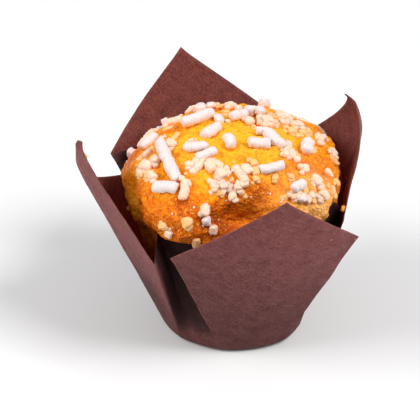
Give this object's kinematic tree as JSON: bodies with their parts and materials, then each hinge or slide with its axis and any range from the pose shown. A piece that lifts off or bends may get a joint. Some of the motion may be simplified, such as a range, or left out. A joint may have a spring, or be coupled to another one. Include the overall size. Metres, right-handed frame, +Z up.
{
  "type": "muffin in a paper case",
  "caption": "Round-crowned muffin topped with sugar nibs, standing in a folded square paper case with four pointed petals.",
  "frame": {"origin": "middle of the paper case's flat underside", "axes": "+Z up through the muffin's crown; the picture looks along +Y from the front, above the lowest petal"},
  "size_m": [0.0735, 0.0781, 0.0643],
  "materials": {
    "cake": "baked crust, slightly moist, with white sugar nibs",
    "paper": "uncoated brown baking paper"
  },
  "bodies": {
    "root": {"muffin": "cake", "paper_case": "paper"}
  },
  "joints": []
}
